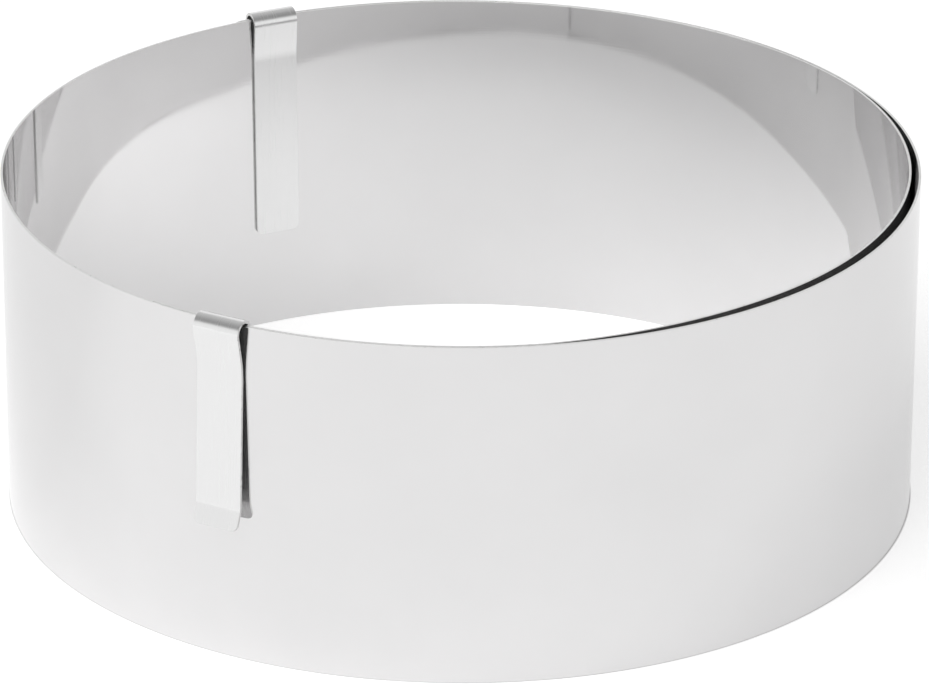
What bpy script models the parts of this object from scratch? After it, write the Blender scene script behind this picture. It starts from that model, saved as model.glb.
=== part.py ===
"""Adjustable cake ring, built in metres with +Z up and the floor at z = 0.

One long strip of spring steel is wound on itself into a ring without top or bottom, so its two ends
overlap and slide past each other when the ring is set wider or narrower. Two bent sheet steel clips
straddle the rim and squeeze the two layers together. The ring's axis is the Z axis, and the front is -Y.
"""

import math

import bmesh
import bpy
from mathutils import Matrix, Vector

# Band: one strip, wound from its inner end anticlockwise, seen from above
RING_DIAMETER = 0.184  # outside of the doubled wall
OVERLAP = 253.2  # degrees by which the strip's ends pass each other, 979 mm of strip in all
BAND_HEIGHT = 0.070
BAND_STEEL = 0.0004
LAYER_GAP = 0.0003  # between two layers that lie against each other
BAND_CORNER = 0.0025  # radius of the strip's four corners
BAND_EDGE = 0.00008  # rounding of the cut edges
INNER_END_ANGLE = -131.0  # degrees from +X to the inner end
RAMP_LEAD = 0.6  # degrees from the angle of the outer end to the ramp's start
RAMP_SPAN = 29.0  # degrees in which a layer climbs over the layer below

# Slack: the inner layer stands off the outer one on part of the way between the clips
SLACK_DEPTH = 0.00155
SLACK_START = 0.192  # these four are shares of the way from the front clip to the rear clip
SLACK_CREST_START = 0.311
SLACK_CREST_END = 0.379
SLACK_END = 0.594

# Lean: the clips pinch the layers at the rim, so the inner layer's lower edge springs inwards
FOOT_INSET = 0.0013  # of the lower edge from the upper one, at the clips
FOOT_INSET_MIDWAY = 0.00075
FOOT_INSET_EASE = 0.225  # share of the way between the clips that leads from one inset to the other
FOOT_INSET_FADE = 46.0  # degrees beyond the outer end in which the strip comes upright

# Clips: the same bent strip twice, its long straight leg inside the ring
CLIP_STEEL = 0.0006
CLIP_WIDTH = 0.0098
CLIP_CLEARANCE = 0.0003
CLIP_CORNER = 0.0014
CLIP_EDGE = 0.0001
LOOP_RADIUS = 0.0022  # to the middle of the sheet
LOOP_OUTSET = 0.0004  # from the middle of the wall to the loop's centre
NIP_DROP = 0.0085  # from the rim down to where the legs pinch the wall
NIP_BEND = 0.022
INNER_LEG = 0.050  # from the rim down to the end of the inner leg
FOOT_DROP = 0.0375  # from the rim down to the bend above the thumb foot
FOOT_BEND = 0.004
OUTER_LEG = 0.0414  # from the rim down to the tip of the thumb foot
LEG_SPREAD = 0.0012  # how far the outer leg opens between the nip and the foot bend
FOOT_FLARE = 0.0016  # how far the foot turns out
FRONT_SETBACK = 0.0188  # along the wall from the inner end to the middle of the front clip
REAR_SETBACK = 0.0097  # along the wall from the outer end to the middle of the rear clip

# Fineness of the faceted surfaces
BAND_STEP = 2.5  # degrees, a whole number of steps in a turn so that facing layers match
BEND_STEP = 9.0  # degrees
LEAST_BEND_STEPS = 4
CORNER_STEPS = 5

LAYER_PITCH = BAND_STEEL + LAYER_GAP
LAYERS = 1 + math.ceil(OVERLAP / 360.0)
WALL_STACK = LAYERS * BAND_STEEL + (LAYERS - 1) * LAYER_GAP
STACK_RADIUS = RING_DIAMETER / 2 - WALL_STACK / 2
INNER_LAYER_RADIUS = RING_DIAMETER / 2 - WALL_STACK + BAND_STEEL / 2

# Turns are degrees of winding, counted along the strip from its inner end
FULL_TURN = 360.0 + OVERLAP
RAMP_START = OVERLAP % 360.0 + RAMP_LEAD
FRONT_CLIP_TURN = math.degrees(FRONT_SETBACK / STACK_RADIUS)
REAR_CLIP_TURN = FULL_TURN - 360.0 * (LAYERS - 1) - math.degrees(REAR_SETBACK / STACK_RADIUS)


def smooth_step(share):
    share = min(max(share, 0.0), 1.0)
    return share * share * (3.0 - 2.0 * share)


def layer_radius(turn):
    """Radius of the strip's middle after so many degrees of winding, without the slack."""
    layer, within = divmod(turn, 360.0)
    climb = smooth_step((within - RAMP_START) / RAMP_SPAN)
    return INNER_LAYER_RADIUS + LAYER_PITCH * (layer + climb)


def slack(turn):
    """How far the inner layer stands in from its round path."""
    way = (turn - FRONT_CLIP_TURN) / (REAR_CLIP_TURN - FRONT_CLIP_TURN)
    if not SLACK_START < way < SLACK_END:
        return 0.0
    rise = min(1.0, (way - SLACK_START) / (SLACK_CREST_START - SLACK_START))
    fall = max(0.0, (way - SLACK_CREST_END) / (SLACK_END - SLACK_CREST_END))
    return SLACK_DEPTH * math.sin(math.pi / 2 * rise) * math.cos(math.pi / 2 * fall)


def foot_inset(turn):
    """How far the strip's lower edge stands in from its upper edge."""
    way = (turn - FRONT_CLIP_TURN) / (REAR_CLIP_TURN - FRONT_CLIP_TURN)
    from_clips = smooth_step(min(way, 1.0 - way) / FOOT_INSET_EASE)
    inset = FOOT_INSET + (FOOT_INSET_MIDWAY - FOOT_INSET) * from_clips
    return inset * (1.0 - smooth_step((turn - RAMP_START) / FOOT_INSET_FADE))


def strip_point(turn, height):
    inset = foot_inset(turn) * (1.0 - height / BAND_HEIGHT)
    radius = layer_radius(turn) - slack(turn) - inset
    angle = math.radians(INNER_END_ANGLE + turn)
    return Vector((radius * math.cos(angle), radius * math.sin(angle), height))


def corner_distances(corner):
    """Distances from a strip's end at which its rounded corners need a station."""
    quarter = math.pi / 2
    return [corner * (1.0 - math.cos(quarter * i / CORNER_STEPS)) for i in range(CORNER_STEPS + 1)]


def corner_half_width(distance, half_width, corner):
    """Half width of a strip at a distance from its end, with both corners rounded."""
    inside = max(0.0, corner - distance)
    return half_width - corner + math.sqrt(corner * corner - inside * inside)


def round_corner(before, point, after, radius):
    """Arc that rounds the corner of a profile at point."""
    back = (before - point).normalized()
    ahead = (after - point).normalized()
    half_angle = back.angle(ahead) / 2
    centre = point + (back + ahead).normalized() * (radius / math.sin(half_angle))
    start = point + back * (radius / math.tan(half_angle)) - centre
    turn = math.pi - 2 * half_angle
    if start.cross(ahead) < 0:
        turn = -turn
    steps = max(LEAST_BEND_STEPS, math.ceil(abs(turn) / math.radians(BEND_STEP)))
    return [centre + Matrix.Rotation(turn * i / steps, 2) @ start for i in range(steps + 1)]


def tangent_angle(point, centre, radius, side):
    """Angle on a circle where the line from an outside point touches it."""
    away = point - centre
    return math.atan2(away.y, away.x) + side * math.acos(radius / away.length)


def clip_profile():
    """Middle line of the clip's sheet, from the inner leg's end over the rim to the foot's tip.

    x runs outwards from the middle of the wall, and y up from the rim.
    """
    half_stack = WALL_STACK / 2
    half_sheet = CLIP_STEEL / 2
    inner_wall = STACK_RADIUS - half_stack
    chord_drop = inner_wall - math.sqrt(inner_wall**2 - (CLIP_WIDTH / 2) ** 2)
    inner_x = -(half_stack + CLIP_CLEARANCE + half_sheet + chord_drop)
    outer_x = half_stack + CLIP_CLEARANCE + half_sheet

    loop_inside = LOOP_RADIUS - half_sheet
    seat_height = math.sqrt(loop_inside**2 - (half_stack + LOOP_OUTSET) ** 2)
    loop_centre = Vector((LOOP_OUTSET, CLIP_CLEARANCE - seat_height))

    lean = FOOT_INSET / BAND_HEIGHT
    inner_end = Vector((inner_x - INNER_LEG * lean, -INNER_LEG))
    inner_nip = Vector((inner_x - NIP_DROP * lean, -NIP_DROP))
    outer_nip = Vector((outer_x, -NIP_DROP))
    foot_bend = Vector((outer_x + LEG_SPREAD, -FOOT_DROP))
    foot_tip = Vector((outer_x + LEG_SPREAD + FOOT_FLARE, -OUTER_LEG))

    first = tangent_angle(inner_nip, loop_centre, LOOP_RADIUS, -1) + 2 * math.pi
    last = tangent_angle(outer_nip, loop_centre, LOOP_RADIUS, 1)
    steps = math.ceil((first - last) / math.radians(BEND_STEP))
    angles = [first + (last - first) * i / steps for i in range(steps + 1)]
    loop = [loop_centre + Vector((math.cos(a), math.sin(a))) * LOOP_RADIUS for a in angles]

    leg_up = (inner_nip - inner_end).normalized()
    foot_up = (foot_bend - foot_tip).normalized()
    inner_corner = [inner_end + leg_up * d for d in corner_distances(CLIP_CORNER)]
    foot_corner = [foot_tip + foot_up * d for d in corner_distances(CLIP_CORNER)]
    return (
        inner_corner
        + round_corner(inner_end, inner_nip, loop[0], NIP_BEND)
        + loop
        + round_corner(loop[-1], outer_nip, foot_bend, NIP_BEND)
        + round_corner(outer_nip, foot_bend, foot_tip, FOOT_BEND)
        + foot_corner[::-1]
    )


def steel(name, colour, roughness):
    material = bpy.data.materials.new(name)
    material.use_nodes = True
    shader = material.node_tree.nodes["Principled BSDF"]
    shader.inputs["Base Color"].default_value = (*colour, 1.0)
    shader.inputs["Metallic"].default_value = 1.0
    shader.inputs["Roughness"].default_value = roughness
    material.diffuse_color = (*colour, 1.0)
    return material


def sheet_object(name, rungs, thickness, edge, material, collection):
    """A strip of sheet metal: rungs are pairs of facing points on the edges of its middle plane."""
    sheet = bmesh.new()
    rows = [[sheet.verts.new(point) for point in rung] for rung in rungs]
    for (low, high), (next_low, next_high) in zip(rows, rows[1:]):
        sheet.faces.new((low, next_low, next_high, high))
    mesh = bpy.data.meshes.new(name)
    sheet.to_mesh(mesh)
    sheet.free()
    mesh.shade_smooth()
    mesh.materials.append(material)
    piece = bpy.data.objects.new(name, mesh)
    collection.objects.link(piece)

    solid = piece.modifiers.new("sheet_thickness", "SOLIDIFY")
    solid.thickness = thickness
    solid.offset = 0.0
    solid.use_even_offset = True
    rounding = piece.modifiers.new("deburred_edges", "BEVEL")
    rounding.width = edge
    rounding.segments = 1
    rounding.limit_method = "ANGLE"
    rounding.angle_limit = math.radians(50.0)
    rounding.harden_normals = True
    return piece


def make_band(collection):
    """The wound strip, with rounded corners at both ends."""
    inner_end = INNER_LAYER_RADIUS
    outer_end = layer_radius(FULL_TURN)
    corner = corner_distances(BAND_CORNER)
    opening = [math.degrees(d / inner_end) for d in corner]
    closing = [FULL_TURN - math.degrees(d / outer_end) for d in reversed(corner)]
    first = math.floor(opening[-1] / BAND_STEP) + 1
    last = math.ceil(closing[0] / BAND_STEP) - 1
    turns = opening + [BAND_STEP * i for i in range(first, last + 1)] + closing
    rungs = []
    for turn in turns:
        to_end = min(math.radians(turn) * inner_end, math.radians(FULL_TURN - turn) * outer_end)
        half_height = corner_half_width(to_end, BAND_HEIGHT / 2, BAND_CORNER)
        rungs.append([strip_point(turn, BAND_HEIGHT / 2 + half_height * side) for side in (-1, 1)])
    polished = steel("polished_band_steel", (0.78, 0.78, 0.79), 0.10)
    return sheet_object("ring_band", rungs, BAND_STEEL, BAND_EDGE, polished, collection)


def make_clip(name, turn, material, collection):
    """A spring clip over the rim. Its origin is on the ring's axis, so turning it slides it."""
    profile = clip_profile()
    ends = (profile[0], profile[-1])
    wall_radius = layer_radius(turn) + (WALL_STACK - BAND_STEEL) / 2
    rungs = []
    for point in profile:
        to_end = min((point - end).length for end in ends)
        half_width = corner_half_width(to_end, CLIP_WIDTH / 2, CLIP_CORNER)
        x, z = wall_radius + point.x, BAND_HEIGHT + point.y
        rungs.append([Vector((x, half_width * side, z)) for side in (-1, 1)])
    clip = sheet_object(name, rungs, CLIP_STEEL, CLIP_EDGE, material, collection)
    clip.rotation_euler.z = math.radians(INNER_END_ANGLE + turn)
    return clip


def build():
    for leftover in list(bpy.data.objects):
        bpy.data.objects.remove(leftover, do_unlink=True)
    ring = bpy.data.collections.new("adjustable_cake_ring")
    bpy.context.scene.collection.children.link(ring)
    satin = steel("satin_clip_steel", (0.74, 0.74, 0.75), 0.28)
    make_band(ring)
    make_clip("front_clip", FRONT_CLIP_TURN, satin, ring)
    make_clip("rear_clip", REAR_CLIP_TURN, satin, ring)


build()
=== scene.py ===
"""Adjustable cake ring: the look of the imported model.

The wound band and the two spring clips are built here once more from the same sizes as the solids, but
finer, because polished steel shows every facet. Metres, +Z up, the floor at z = 0, the front at -Y.
"""

import math

import bmesh
import bpy
from mathutils import Matrix, Vector


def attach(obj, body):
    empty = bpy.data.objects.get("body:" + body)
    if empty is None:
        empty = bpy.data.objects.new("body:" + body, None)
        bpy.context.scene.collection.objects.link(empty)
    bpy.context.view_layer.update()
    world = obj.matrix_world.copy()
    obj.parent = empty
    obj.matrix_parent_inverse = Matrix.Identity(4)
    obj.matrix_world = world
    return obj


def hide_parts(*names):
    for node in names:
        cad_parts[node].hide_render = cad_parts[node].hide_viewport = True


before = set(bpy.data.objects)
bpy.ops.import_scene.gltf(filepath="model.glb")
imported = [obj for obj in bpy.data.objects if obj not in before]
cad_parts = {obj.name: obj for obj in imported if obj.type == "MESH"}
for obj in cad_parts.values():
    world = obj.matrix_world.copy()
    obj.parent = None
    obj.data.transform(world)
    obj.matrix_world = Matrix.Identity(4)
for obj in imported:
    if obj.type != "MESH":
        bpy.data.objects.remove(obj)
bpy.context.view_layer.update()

# Camera, found from the rim and the foot circle in a picture of 929 x 684 pixels
CAMERA_PLACE = Vector((0.00070, -1.14271, 0.53517))
CAMERA_PITCH = 23.822  # degrees below the horizon
CAMERA_YAW = 0.009  # degrees towards +X
CAMERA_ROLL = 0.235  # degrees
CAMERA_RANGE = (0.05, 20.0)  # nearest and farthest that it sees
FOCAL_LENGTH = 238.66  # mm
SENSOR_WIDTH = 36.0  # mm

# Band, the same sizes as the solid, but with the layers pressed together within the same wall,
# which makes the slack a little deeper. A turn is an angle along the strip from its inner end.
RING_DIAMETER = 0.184
OVERLAP = 253.2  # degrees
BAND_HEIGHT = 0.070
BAND_STEEL = 0.0005
LAYER_GAP = 0.0001
BAND_CORNER = 0.0025
INNER_END_ANGLE = -131.0  # degrees from +X
RAMP_LEAD = 0.6  # degrees past the outer end, where the inner layer starts to climb
RAMP_SPAN = 29.0  # degrees over which it climbs by one layer
SLACK_DEPTH = 0.00183
SLACK_START = 0.165  # this and the next three are shares of the way from the front clip to the rear one
SLACK_CREST_START = 0.311
SLACK_CREST_END = 0.379
SLACK_END = 0.620
FOOT_INSET = 0.0013  # how far the inner layer's foot leans in near the clips
FOOT_INSET_MIDWAY = 0.00075
FOOT_INSET_EASE = 0.225  # share of the way between the clips
FOOT_INSET_FADE = 46.0  # degrees after the start of the climb, over which the lean ends

# Clips, the same sizes as the solids, but with the inner leg 1.2 mm shorter and 0.2 mm closer to the wall
CLIP_STEEL = 0.0006
CLIP_WIDTH = 0.0098
CLIP_CLEARANCE = 0.0003
INNER_CLEARANCE = 0.0001
CLIP_CORNER = 0.0014
LOOP_RADIUS = 0.0022
LOOP_OUTSET = 0.0004
NIP_DROP = 0.0085
NIP_BEND = 0.022
INNER_LEG = 0.0488
FOOT_DROP = 0.0375
FOOT_BEND = 0.004
OUTER_LEG = 0.0414
LEG_SPREAD = 0.0012
FOOT_FLARE = 0.0016
FRONT_SETBACK = 0.0188  # along the rim from the inner end
REAR_SETBACK = 0.0097  # along the rim from the outer end

# Light, where a level of 1 shows as white
KEY_PLACE = (-1.34, -1.21, 1.87)
KEY_SIZE = 3.4
KEY_RADIANCE = 1.62
AMBIENT_LEVEL = 0.40
BACK_WALL_LEVEL = 0.6
FRONT_WALL_LEVEL = 0.31
FRONT_TO_BACK = (-0.3, 0.7)  # the y of a direction, over which one wall level gives way to the other
HORIZON_FADE = (0.42, 0.72)  # the z of a direction, over which the white horizon gives way to the walls
BOUNCES = 24
GLOSSY_BOUNCES = 20  # the ring's inside reflects itself many times

# Table
TABLE_HALF_SIDE = 6.0
TABLE_WHITE = 0.8
TABLE_GLOW = 0.38  # added to the table where it shows in the steel
GLOW_AT_LEFT = 0.78  # share of that glow on the table at the ring's left side: a painted shade, seen in the steel
LEFT_SIDE = (-0.065, -0.015)  # the y over which the glow falls to that share
LEFT_TO_RIGHT = (-0.04, 0.04)  # the x over which it comes back
TABLE_BURN = 0.50  # added to the table where the camera sees it, so that it burns out to white
# The glow is taken away in a ring under the wall: a painted shadow along its foot and between its layers.
INSIDE_RADIUS = 0.0901  # of the table inside the ring
INSIDE_SHIFT = (0.0015, -0.0010, 0.0)  # takes the middle of that to the axis, away from the wide gap
INSIDE_FADE = 0.0002  # over which the glow ends at the wall's inside
OUTSIDE_FADE = 0.0003  # over which it starts again at the wall's outside

# Fineness of what shows
BAND_STEP = 0.5  # degrees
BEND_STEP = 3.0  # degrees
LEAST_BEND_STEPS = 8
CORNER_STEPS = 10
BAND_EDGE = 0.00015
CLIP_EDGE = 0.00014
EDGE_SEGMENTS = 3
SHARP_ANGLE = 50.0  # degrees, from which an edge gets rounded

RING_RADIUS = RING_DIAMETER / 2
LAYER_PITCH = BAND_STEEL + LAYER_GAP
LAYERS = 1 + math.ceil(OVERLAP / 360.0)
WALL_STACK = LAYERS * BAND_STEEL + (LAYERS - 1) * LAYER_GAP
STACK_RADIUS = RING_RADIUS - WALL_STACK / 2
INNER_LAYER_RADIUS = RING_RADIUS - WALL_STACK + BAND_STEEL / 2
FULL_TURN = 360.0 + OVERLAP
RAMP_START = OVERLAP % 360.0 + RAMP_LEAD
FRONT_CLIP_TURN = math.degrees(FRONT_SETBACK / STACK_RADIUS)
REAR_CLIP_TURN = FULL_TURN - 360.0 * (LAYERS - 1) - math.degrees(REAR_SETBACK / STACK_RADIUS)


# Shapes


def smooth_step(share):
    share = min(max(share, 0.0), 1.0)
    return share * share * (3.0 - 2.0 * share)


def layer_radius(turn):
    layer, within = divmod(turn, 360.0)
    climb = smooth_step((within - RAMP_START) / RAMP_SPAN)
    return INNER_LAYER_RADIUS + LAYER_PITCH * (layer + climb)


def slack(turn):
    way = (turn - FRONT_CLIP_TURN) / (REAR_CLIP_TURN - FRONT_CLIP_TURN)
    if not SLACK_START < way < SLACK_END:
        return 0.0
    rise = min(1.0, (way - SLACK_START) / (SLACK_CREST_START - SLACK_START))
    fall = max(0.0, (way - SLACK_CREST_END) / (SLACK_END - SLACK_CREST_END))
    return SLACK_DEPTH * math.sin(math.pi / 2 * rise) * math.cos(math.pi / 2 * fall)


def foot_inset(turn):
    way = (turn - FRONT_CLIP_TURN) / (REAR_CLIP_TURN - FRONT_CLIP_TURN)
    from_clips = smooth_step(min(way, 1.0 - way) / FOOT_INSET_EASE)
    inset = FOOT_INSET + (FOOT_INSET_MIDWAY - FOOT_INSET) * from_clips
    return inset * (1.0 - smooth_step((turn - RAMP_START) / FOOT_INSET_FADE))


def strip_point(turn, height):
    inset = foot_inset(turn) * (1.0 - height / BAND_HEIGHT)
    radius = layer_radius(turn) - slack(turn) - inset
    angle = math.radians(INNER_END_ANGLE + turn)
    return Vector((radius * math.cos(angle), radius * math.sin(angle), height))


def corner_distances(corner):
    quarter = math.pi / 2
    return [corner * (1.0 - math.cos(quarter * i / CORNER_STEPS)) for i in range(CORNER_STEPS + 1)]


def corner_half_width(distance, half_width, corner):
    inside = max(0.0, corner - distance)
    return half_width - corner + math.sqrt(corner * corner - inside * inside)


def round_corner(before, point, after, radius):
    back = (before - point).normalized()
    ahead = (after - point).normalized()
    half_angle = back.angle(ahead) / 2
    centre = point + (back + ahead).normalized() * (radius / math.sin(half_angle))
    start = point + back * (radius / math.tan(half_angle)) - centre
    turn = math.pi - 2 * half_angle
    if start.cross(ahead) < 0:
        turn = -turn
    steps = max(LEAST_BEND_STEPS, math.ceil(abs(turn) / math.radians(BEND_STEP)))
    return [centre + Matrix.Rotation(turn * i / steps, 2) @ start for i in range(steps + 1)]


def tangent_angle(point, centre, radius, side):
    away = point - centre
    return math.atan2(away.y, away.x) + side * math.acos(radius / away.length)


def clip_profile():
    half_stack = WALL_STACK / 2
    half_sheet = CLIP_STEEL / 2
    inner_wall = STACK_RADIUS - half_stack
    chord_drop = inner_wall - math.sqrt(inner_wall**2 - (CLIP_WIDTH / 2) ** 2)
    inner_x = -(half_stack + INNER_CLEARANCE + half_sheet + chord_drop)
    outer_x = half_stack + CLIP_CLEARANCE + half_sheet

    loop_inside = LOOP_RADIUS - half_sheet
    seat_height = math.sqrt(loop_inside**2 - (half_stack + LOOP_OUTSET) ** 2)
    loop_centre = Vector((LOOP_OUTSET, CLIP_CLEARANCE - seat_height))

    lean = FOOT_INSET / BAND_HEIGHT
    inner_end = Vector((inner_x - INNER_LEG * lean, -INNER_LEG))
    inner_nip = Vector((inner_x - NIP_DROP * lean, -NIP_DROP))
    outer_nip = Vector((outer_x, -NIP_DROP))
    foot_bend = Vector((outer_x + LEG_SPREAD, -FOOT_DROP))
    foot_tip = Vector((outer_x + LEG_SPREAD + FOOT_FLARE, -OUTER_LEG))

    first = tangent_angle(inner_nip, loop_centre, LOOP_RADIUS, -1) + 2 * math.pi
    last = tangent_angle(outer_nip, loop_centre, LOOP_RADIUS, 1)
    steps = math.ceil((first - last) / math.radians(BEND_STEP))
    angles = [first + (last - first) * i / steps for i in range(steps + 1)]
    loop = [loop_centre + Vector((math.cos(a), math.sin(a))) * LOOP_RADIUS for a in angles]

    leg_up = (inner_nip - inner_end).normalized()
    foot_up = (foot_bend - foot_tip).normalized()
    inner_corner = [inner_end + leg_up * d for d in corner_distances(CLIP_CORNER)]
    foot_corner = [foot_tip + foot_up * d for d in corner_distances(CLIP_CORNER)]
    return (
        inner_corner
        + round_corner(inner_end, inner_nip, loop[0], NIP_BEND)
        + loop
        + round_corner(loop[-1], outer_nip, foot_bend, NIP_BEND)
        + round_corner(outer_nip, foot_bend, foot_tip, FOOT_BEND)
        + foot_corner[::-1]
    )


def sheet_piece(name, rungs, thickness, edge, materials):
    """A strip of sheet steel: rungs are pairs of facing points on the edges of its middle plane.

    materials are those of its face, of its cut edges and, where it differs, of its other face.
    """
    sheet = bmesh.new()
    rows = [[sheet.verts.new(point) for point in rung] for rung in rungs]
    for (low, high), (next_low, next_high) in zip(rows, rows[1:]):
        sheet.faces.new((low, next_low, next_high, high))
    mesh = bpy.data.meshes.new(name)
    sheet.to_mesh(mesh)
    sheet.free()
    mesh.shade_smooth()
    for material in materials:
        mesh.materials.append(material)
    piece = bpy.data.objects.new(name, mesh)
    bpy.context.scene.collection.objects.link(piece)

    solid = piece.modifiers.new("sheet_thickness", "SOLIDIFY")
    solid.thickness = thickness
    solid.offset = 0.0
    solid.use_even_offset = True
    solid.material_offset = 2 if len(materials) > 2 else 0
    solid.material_offset_rim = 1
    rounding = piece.modifiers.new("deburred_edges", "BEVEL")
    rounding.width = edge
    rounding.segments = EDGE_SEGMENTS
    rounding.limit_method = "ANGLE"
    rounding.angle_limit = math.radians(SHARP_ANGLE)
    rounding.harden_normals = True
    return piece


def make_band(materials):
    inner_end = INNER_LAYER_RADIUS
    outer_end = layer_radius(FULL_TURN)
    corner = corner_distances(BAND_CORNER)
    opening = [math.degrees(d / inner_end) for d in corner]
    closing = [FULL_TURN - math.degrees(d / outer_end) for d in reversed(corner)]
    first = math.floor(opening[-1] / BAND_STEP) + 1
    last = math.ceil(closing[0] / BAND_STEP) - 1
    turns = opening + [BAND_STEP * i for i in range(first, last + 1)] + closing
    rungs = []
    for turn in turns:
        to_end = min(math.radians(turn) * inner_end, math.radians(FULL_TURN - turn) * outer_end)
        half_height = corner_half_width(to_end, BAND_HEIGHT / 2, BAND_CORNER)
        rungs.append([strip_point(turn, BAND_HEIGHT / 2 + half_height * side) for side in (-1, 1)])
    return sheet_piece("wound_band", rungs, BAND_STEEL, BAND_EDGE, materials)


def make_clip(name, turn, materials):
    profile = clip_profile()
    ends = (profile[0], profile[-1])
    wall_radius = layer_radius(turn) + (WALL_STACK - BAND_STEEL) / 2
    rungs = []
    for point in profile:
        to_end = min((point - end).length for end in ends)
        half_width = corner_half_width(to_end, CLIP_WIDTH / 2, CLIP_CORNER)
        x, z = wall_radius + point.x, BAND_HEIGHT + point.y
        rungs.append([Vector((x, half_width * side, z)) for side in (-1, 1)])
    clip = sheet_piece(name, rungs, CLIP_STEEL, CLIP_EDGE, materials)
    clip.rotation_euler.z = math.radians(INNER_END_ANGLE + turn)
    return clip


# Materials


def add_node(owner, kind, **sockets):
    """A node in a material or world, with values for its input sockets by name."""
    node = owner.node_tree.nodes.new(kind)
    for name, value in sockets.items():
        node.inputs[name.replace("_", " ")].default_value = value
    return node


def remap(owner, value, low, high, to_low, to_high, interpolation="LINEAR"):
    node = add_node(owner, "ShaderNodeMapRange", From_Min=low, From_Max=high, To_Min=to_low, To_Max=to_high)
    node.interpolation_type = interpolation
    owner.node_tree.links.new(value, node.inputs["Value"])
    return node.outputs["Result"]


def colour_ramp(material, value, first, last):
    """A blend of two colours, each given with the value at which it stands."""
    ramp = add_node(material, "ShaderNodeValToRGB")
    for element, (position, colour) in zip(ramp.color_ramp.elements, (first, last)):
        element.position = position
        element.color = (*colour, 1.0)
    material.node_tree.links.new(value, ramp.inputs["Fac"])
    return ramp.outputs["Color"]


def new_steel(name, roughness):
    material = bpy.data.materials.new(name)
    material.use_nodes = True
    shader = material.node_tree.nodes["Principled BSDF"]
    shader.inputs["Metallic"].default_value = 1.0
    shader.inputs["Roughness"].default_value = roughness
    return material, shader


def stretched_noise(material, scale, detail, roughness=0.5):
    """Noise in the piece's own coordinates, with its own scale along x, y and z."""
    link = material.node_tree.links.new
    place = add_node(material, "ShaderNodeTexCoord")
    mapping = add_node(material, "ShaderNodeMapping", Scale=scale)
    noise = add_node(material, "ShaderNodeTexNoise", Scale=1.0, Detail=detail, Roughness=roughness)
    link(place.outputs["Object"], mapping.inputs["Vector"])
    link(mapping.outputs["Vector"], noise.inputs["Vector"])
    return noise.outputs["Fac"]


def polished_band_steel():
    material, shader = new_steel("polished_band_steel", 0.05)
    shader.inputs["Metallic"].default_value = 0.93  # the rest is the faint haze of handled steel
    link = material.node_tree.links.new
    haze = stretched_noise(material, (28.0, 28.0, 34.0), 4.0, 0.55)
    colour = colour_ramp(material, haze, (0.3, (0.734, 0.729, 0.731)), (0.7, (0.758, 0.753, 0.755)))
    link(colour, shader.inputs["Base Color"])
    link(remap(material, haze, 0.35, 0.75, 0.035, 0.075), shader.inputs["Roughness"])
    lines = stretched_noise(material, (14.0, 14.0, 5200.0), 2.0)
    bump = add_node(material, "ShaderNodeBump", Strength=0.006, Distance=0.0001)
    link(lines, bump.inputs["Height"])
    link(bump.outputs["Normal"], shader.inputs["Normal"])
    return material


def cut_edge_steel():
    material, shader = new_steel("cut_edge_steel", 0.3)
    link = material.node_tree.links.new
    grain = stretched_noise(material, (900.0, 900.0, 900.0), 3.0)
    colour = colour_ramp(material, grain, (0.3, (0.62, 0.62, 0.615)), (0.7, (0.74, 0.74, 0.735)))
    link(colour, shader.inputs["Base Color"])
    link(remap(material, grain, 0.3, 0.7, 0.26, 0.36), shader.inputs["Roughness"])
    return material


# Satin steel with a grain of darker and lighter tone; a second, much darker copy of it paints shade on the
# clips' faces turned to the band.
def satin_clip_steel(name, dark, light):
    material, shader = new_steel(name, 0.25)
    link = material.node_tree.links.new
    grain = stretched_noise(material, (60.0, 9000.0, 60.0), 3.0)
    colour = colour_ramp(material, grain, (0.25, (dark, dark, dark)), (0.75, (light, light, light)))
    link(colour, shader.inputs["Base Color"])
    link(remap(material, grain, 0.3, 0.7, 0.22, 0.28), shader.inputs["Roughness"])
    bump = add_node(material, "ShaderNodeBump", Strength=0.03, Distance=0.00005)
    link(grain, bump.inputs["Height"])
    link(bump.outputs["Normal"], shader.inputs["Normal"])
    return material


# Stage, light and camera


def joined(owner, operation, one, other):
    node = add_node(owner, "ShaderNodeMath")
    node.operation = operation
    owner.node_tree.links.new(one, node.inputs[0])
    owner.node_tree.links.new(other, node.inputs[1])
    return node.outputs[0]


def greater(owner, one, other):
    return joined(owner, "MAXIMUM", one, other)


def product(owner, one, other):
    return joined(owner, "MULTIPLY", one, other)


def seen_rays(owner):
    """1 for the rays that show the stage itself: straight from the camera, or by way of steel or glass."""
    path = add_node(owner, "ShaderNodeLightPath").outputs
    by_way_of_it = greater(owner, path["Is Glossy Ray"], path["Is Transmission Ray"])
    return greater(owner, path["Is Camera Ray"], by_way_of_it)


def from_middle(material, shift=(0.0, 0.0, 0.0)):
    """Distance from the ring's axis, after a shift of the point."""
    link = material.node_tree.links.new
    place = add_node(material, "ShaderNodeTexCoord")
    shifted = add_node(material, "ShaderNodeMapping", Location=shift)
    length = add_node(material, "ShaderNodeVectorMath")
    length.operation = "LENGTH"
    link(place.outputs["Object"], shifted.inputs["Vector"])
    link(shifted.outputs["Vector"], length.inputs[0])
    return length.outputs["Value"]


def painted_foot_shadow_mask(material):
    """0 on the table under the wall and between its layers, where no light gets in, and 1 elsewhere: the
    glow is taken away there, a painted shadow along the wall's foot.
    """
    distance = from_middle(material, INSIDE_SHIFT)
    inside = remap(material, distance, INSIDE_RADIUS, INSIDE_RADIUS + INSIDE_FADE, 1.0, 0.0)
    distance = from_middle(material)
    outside = remap(material, distance, RING_RADIUS, RING_RADIUS + OUTSIDE_FADE, 0.0, 1.0)
    return greater(material, inside, outside)


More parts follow.
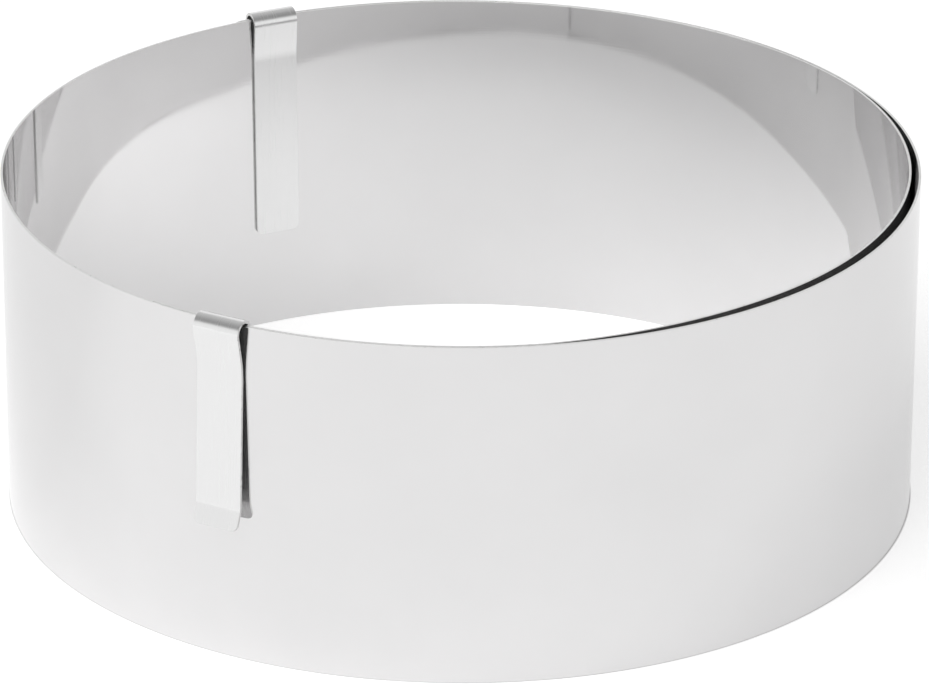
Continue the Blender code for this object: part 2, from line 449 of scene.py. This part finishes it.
def painted_shade_at_left(material):
    """1 on the table inside the ring, in front of it and to its right, and less at its left side: a painted
    shade on the table, which shows in its reflection in the steel.
    """
    place = add_node(material, "ShaderNodeTexCoord")
    axes = add_node(material, "ShaderNodeSeparateXYZ")
    material.node_tree.links.new(place.outputs["Object"], axes.inputs[0])
    inside = remap(material, from_middle(material), RING_RADIUS - BAND_STEEL, RING_RADIUS, 1.0, 0.0)
    at_front = remap(material, axes.outputs["Y"], *LEFT_SIDE, 1.0, GLOW_AT_LEFT)
    at_right = remap(material, axes.outputs["X"], *LEFT_TO_RIGHT, 0.0, 1.0)
    return greater(material, inside, greater(material, at_front, at_right))


def white_table():
    material = bpy.data.materials.new("white_table")
    material.use_nodes = True
    material.node_tree.nodes.clear()
    link = material.node_tree.links.new
    in_steel = remap(material, seen_rays(material), 0.0, 1.0, 0.0, TABLE_GLOW)
    camera_ray = add_node(material, "ShaderNodeLightPath").outputs["Is Camera Ray"]
    in_camera = remap(material, camera_ray, 0.0, 1.0, 0.0, TABLE_BURN)
    # Less glow at the table's left: a painted shade that shows in the steel.
    level = greater(material, product(material, in_steel, painted_shade_at_left(material)), in_camera)
    glow = add_node(material, "ShaderNodeEmission", Color=(1, 1, 1, 1))
    # No glow along the wall's foot and under its layers: a painted shadow.
    link(product(material, level, painted_foot_shadow_mask(material)), glow.inputs["Strength"])
    matt = add_node(material, "ShaderNodeBsdfDiffuse", Color=(TABLE_WHITE, TABLE_WHITE, TABLE_WHITE, 1))
    both = add_node(material, "ShaderNodeAddShader")
    link(matt.outputs[0], both.inputs[0])
    link(glow.outputs[0], both.inputs[1])
    link(both.outputs[0], add_node(material, "ShaderNodeOutputMaterial").inputs["Surface"])
    return material


def make_floor():
    mesh = bpy.data.meshes.new("floor")
    side = TABLE_HALF_SIDE
    corners = [(-side, -side, 0), (side, -side, 0), (side, side, 0), (-side, side, 0)]
    mesh.from_pydata(corners, [], [(0, 1, 2, 3)])
    mesh.materials.append(white_table())
    floor = bpy.data.objects.new("floor", mesh)
    bpy.context.scene.collection.objects.link(floor)


def make_world():
    """White towards the horizon and the back, dim overhead and behind the camera, as in a small studio."""
    world = bpy.data.worlds.new("small_studio")
    bpy.context.scene.world = world
    world.use_nodes = True
    link = world.node_tree.links.new
    direction = add_node(world, "ShaderNodeTexCoord")
    axes = add_node(world, "ShaderNodeSeparateXYZ")
    link(direction.outputs["Generated"], axes.inputs[0])

    def mix(share, without, with_it):
        node = add_node(world, "ShaderNodeMix")
        for socket, value in (("Factor", share), ("A", without), ("B", with_it)):
            if isinstance(value, float):
                node.inputs[socket].default_value = value
            else:
                link(value, node.inputs[socket])
        return node.outputs["Result"]

    wall_levels = (FRONT_WALL_LEVEL, BACK_WALL_LEVEL)
    walls = remap(world, axes.outputs["Y"], *FRONT_TO_BACK, *wall_levels, "SMOOTHSTEP")
    upward = remap(world, axes.outputs["Z"], *HORIZON_FADE, 0.0, 1.0, "SMOOTHSTEP")
    room = mix(upward, 1.0, walls)
    camera_ray = add_node(world, "ShaderNodeLightPath").outputs["Is Camera Ray"]
    shown = mix(camera_ray, room, 1.0)
    level = mix(seen_rays(world), AMBIENT_LEVEL, shown)
    background = world.node_tree.nodes["Background"]
    background.inputs["Color"].default_value = (1, 1, 1, 1)
    link(level, background.inputs["Strength"])


def soft_box(name, place, target, size, radiance):
    """A square lamp of that side length, facing the target, that shines at that radiance."""
    lamp = bpy.data.lights.new(name, "AREA")
    lamp.shape = "SQUARE"
    lamp.size = size
    lamp.energy = radiance * math.pi * size * size
    holder = bpy.data.objects.new(name, lamp)
    holder.location = place
    holder.rotation_mode = "QUATERNION"
    holder.rotation_quaternion = (Vector(target) - Vector(place)).to_track_quat("-Z", "Y")
    bpy.context.scene.collection.objects.link(holder)
    return holder


def leave_unlit(lamp, pieces):
    """Light linking: the lamp doesn't light these pieces, so that it isn't a glare on their bends."""
    left_out = bpy.data.collections.new("shaded_from_" + lamp.name)
    for piece in pieces:
        left_out.objects.link(piece)
    for link in left_out.collection_objects:
        link.light_linking.link_state = "EXCLUDE"
    lamp.light_linking.receiver_collection = left_out


def make_camera():
    data = bpy.data.cameras.new("camera")
    data.sensor_fit = "HORIZONTAL"
    data.sensor_width = SENSOR_WIDTH
    data.lens = FOCAL_LENGTH
    data.clip_start, data.clip_end = CAMERA_RANGE
    camera = bpy.data.objects.new("camera", data)
    camera.matrix_world = (
        Matrix.Translation(CAMERA_PLACE)
        @ Matrix.Rotation(math.radians(-CAMERA_YAW), 4, "Z")
        @ Matrix.Rotation(math.radians(90.0 - CAMERA_PITCH), 4, "X")
        @ Matrix.Rotation(math.radians(CAMERA_ROLL), 4, "Z")
    )
    bpy.context.scene.collection.objects.link(camera)
    bpy.context.scene.camera = camera


def dress(piece, body, node):
    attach(piece, body)
    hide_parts(node)


def main():
    cut_edge = cut_edge_steel()
    band_steel = [polished_band_steel(), cut_edge]
    outer_face = satin_clip_steel("satin_clip_steel", 0.79, 0.82)
    # The clip's faces turned to the band are a darker copy of its steel: painted shade in the narrow gap
    # against the wall, which also darkens their reflection in the band.
    inner_face = satin_clip_steel("painted_shade_clip_steel", 0.50, 0.55)
    clip_steel = [outer_face, cut_edge, inner_face]
    dress(make_band(band_steel), "band", "ring_band")
    clips = [
        make_clip("front_spring_clip", FRONT_CLIP_TURN, clip_steel),
        make_clip("rear_spring_clip", REAR_CLIP_TURN, clip_steel),
    ]
    dress(clips[0], "front_clip", "front_clip")
    dress(clips[1], "rear_clip", "rear_clip")
    make_floor()
    make_world()
    key = soft_box("key_light", KEY_PLACE, (0, 0, 0), KEY_SIZE, KEY_RADIANCE)
    leave_unlit(key, clips)
    make_camera()
    scene = bpy.context.scene
    scene.view_settings.view_transform = "Standard"
    scene.cycles.max_bounces = BOUNCES
    scene.cycles.glossy_bounces = GLOSSY_BOUNCES


main()
